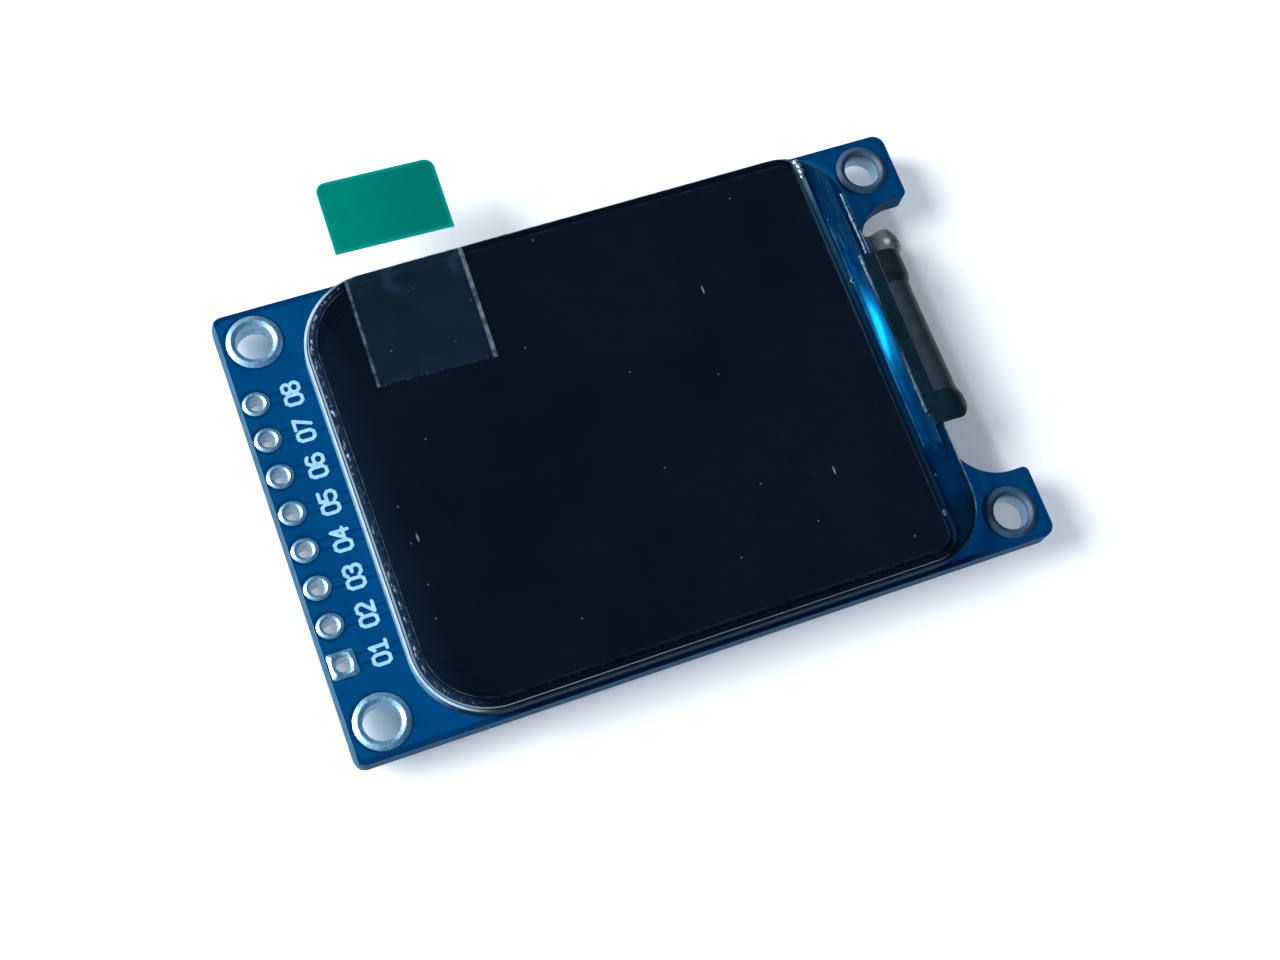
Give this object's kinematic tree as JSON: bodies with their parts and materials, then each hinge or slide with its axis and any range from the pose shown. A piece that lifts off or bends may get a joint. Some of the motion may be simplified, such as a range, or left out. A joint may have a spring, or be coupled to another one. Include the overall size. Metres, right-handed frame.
{
  "type": "tft lcd module",
  "caption": "Small colour display module: glass panel with a peel-off film and pull tab on a blue circuit board with header and fixing holes, its flex folded through a notch.",
  "frame": {"origin": "middle of the four fixing holes, on the circuit board's back face", "axes": "+X from the header holes to the folded flex, +Y towards the side with the pull tab, +Z out of the screen"},
  "size_m": [0.0476, 0.0369, 0.0046],
  "materials": {
    "solder_mask": "blue solder mask over glass fibre",
    "tin": "tinned copper and solder",
    "adhesive_tape": "white tape",
    "tray_steel": "thin folded steel",
    "white_moulding": "white moulding",
    "reflector": "silvered sheet",
    "clear_acrylic": "clear moulding",
    "milky_sheet": "milky film",
    "prism_sheet": "ribbed clear film",
    "black_tape": "black tape",
    "backlight_film": "taupe cover film",
    "lamp": "yellow phosphor",
    "polariser": "dark film",
    "panel_glass": "thin glass",
    "seal": "cement",
    "clear_film": "clear film",
    "grip_film": "green film",
    "silicon": "polished chip",
    "resin": "blue resin",
    "flex_film": "dark cover film",
    "black_moulding": "black moulding",
    "brown_ceramic": "fired ceramic",
    "black_ceramic": "glazed ceramic"
  },
  "bodies": {
    "root": {"printed_board": "solder_mask", "mounting_eyelets": "tin", "header_eyelets": "tin", "mounting_tape": "adhesive_tape", "backlight_tray": "tray_steel", "backlight_frame": "white_moulding", "reflector_sheet": "reflector", "light_guide": "clear_acrylic", "diffuser_sheet": "milky_sheet", "lower_prism_sheet": "prism_sheet", "upper_prism_sheet": "prism_sheet", "rim_tape": "black_tape", "backlight_flex": "backlight_film", "backlight_leds": "lamp", "rear_polariser": "polariser", "tft_glass": "panel_glass", "cell_seal": "seal", "colour_filter_glass": "panel_glass", "front_polariser": "polariser", "protective_film": "clear_film", "pull_strip": "clear_film", "pull_grip": "grip_film", "driver_chip": "silicon", "ledge_resin": "resin", "display_flex": "flex_film", "flex_solder": "tin", "regulator_body": "black_moulding", "regulator_legs": "tin", "transistor_body": "black_moulding", "transistor_legs": "tin", "capacitor_bodies": "brown_ceramic", "capacitor_ends": "tin", "resistor_bodies": "black_ceramic", "resistor_ends": "tin", "part_solder": "tin"}
  },
  "joints": []
}
